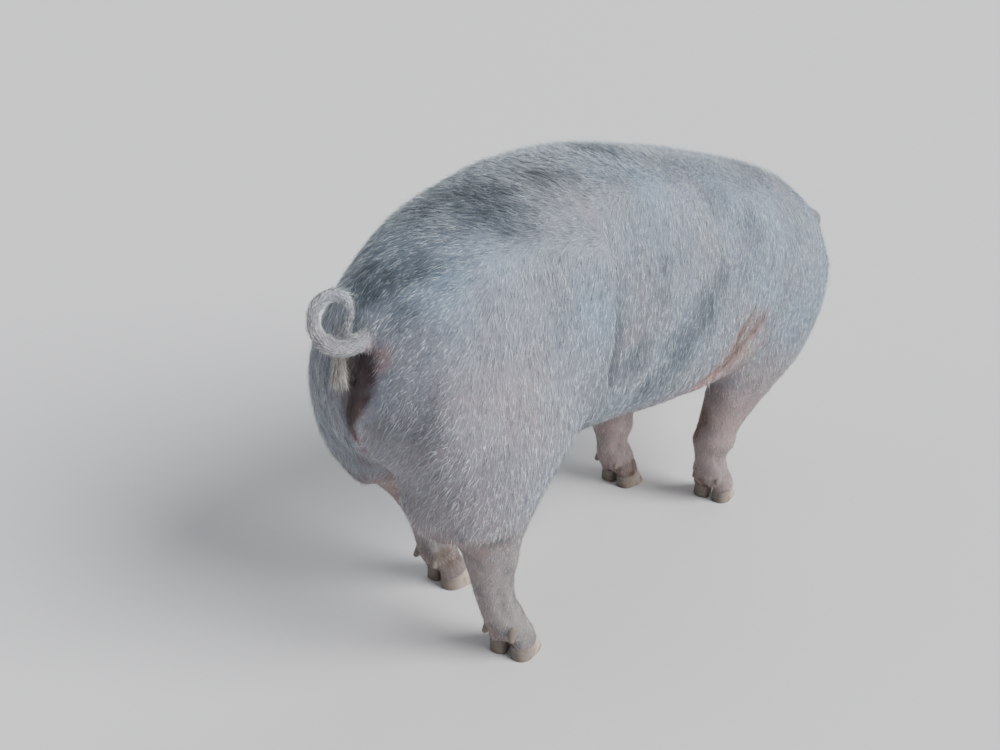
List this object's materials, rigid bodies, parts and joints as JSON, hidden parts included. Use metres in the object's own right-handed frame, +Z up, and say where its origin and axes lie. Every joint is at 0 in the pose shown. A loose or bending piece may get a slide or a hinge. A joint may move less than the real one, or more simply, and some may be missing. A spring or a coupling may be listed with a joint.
{
  "type": "domestic pig model",
  "caption": "Life-size still model of a standing domestic pig with an arched back, its feet gathered under it, its head lowered to one side and its tail in an open curl.",
  "frame": {"origin": "on the floor, at the middle of the model's overall width and length", "axes": "+Z up out of the back; -Y towards the nose; +X towards the pig's left side"},
  "size_m": [0.5084, 1.8869, 0.9052],
  "materials": {
    "skin": "matte skin with short pale bristles",
    "leg_skin": "matte skin, thinly haired",
    "snout_skin": "moist, faintly shiny skin",
    "eye": "wet gloss",
    "horn": "dull grey-cream horn"
  },
  "bodies": {
    "root": {"torso": "skin", "neck": "skin", "head": "skin", "lower_jaw": "skin", "ear_R": "skin", "ear_L": "skin", "tail_root": "skin", "tail_curl": "skin", "tail_tip": "skin", "hind_leg_upper_R": "leg_skin", "hind_leg_upper_L": "leg_skin", "hind_leg_lower_R": "leg_skin", "hind_leg_lower_L": "leg_skin", "fore_leg_upper_R": "leg_skin", "fore_leg_upper_L": "leg_skin", "fore_leg_lower_R": "leg_skin", "fore_leg_lower_L": "leg_skin", "snout_disc": "snout_skin", "eye_R": "eye", "eye_L": "eye", "claw_hind_R_a": "horn", "claw_hind_R_b": "horn", "claw_hind_L_a": "horn", "claw_hind_L_b": "horn", "claw_fore_R_a": "horn", "claw_fore_R_b": "horn", "claw_fore_L_a": "horn", "claw_fore_L_b": "horn"}
  },
  "joints": []
}
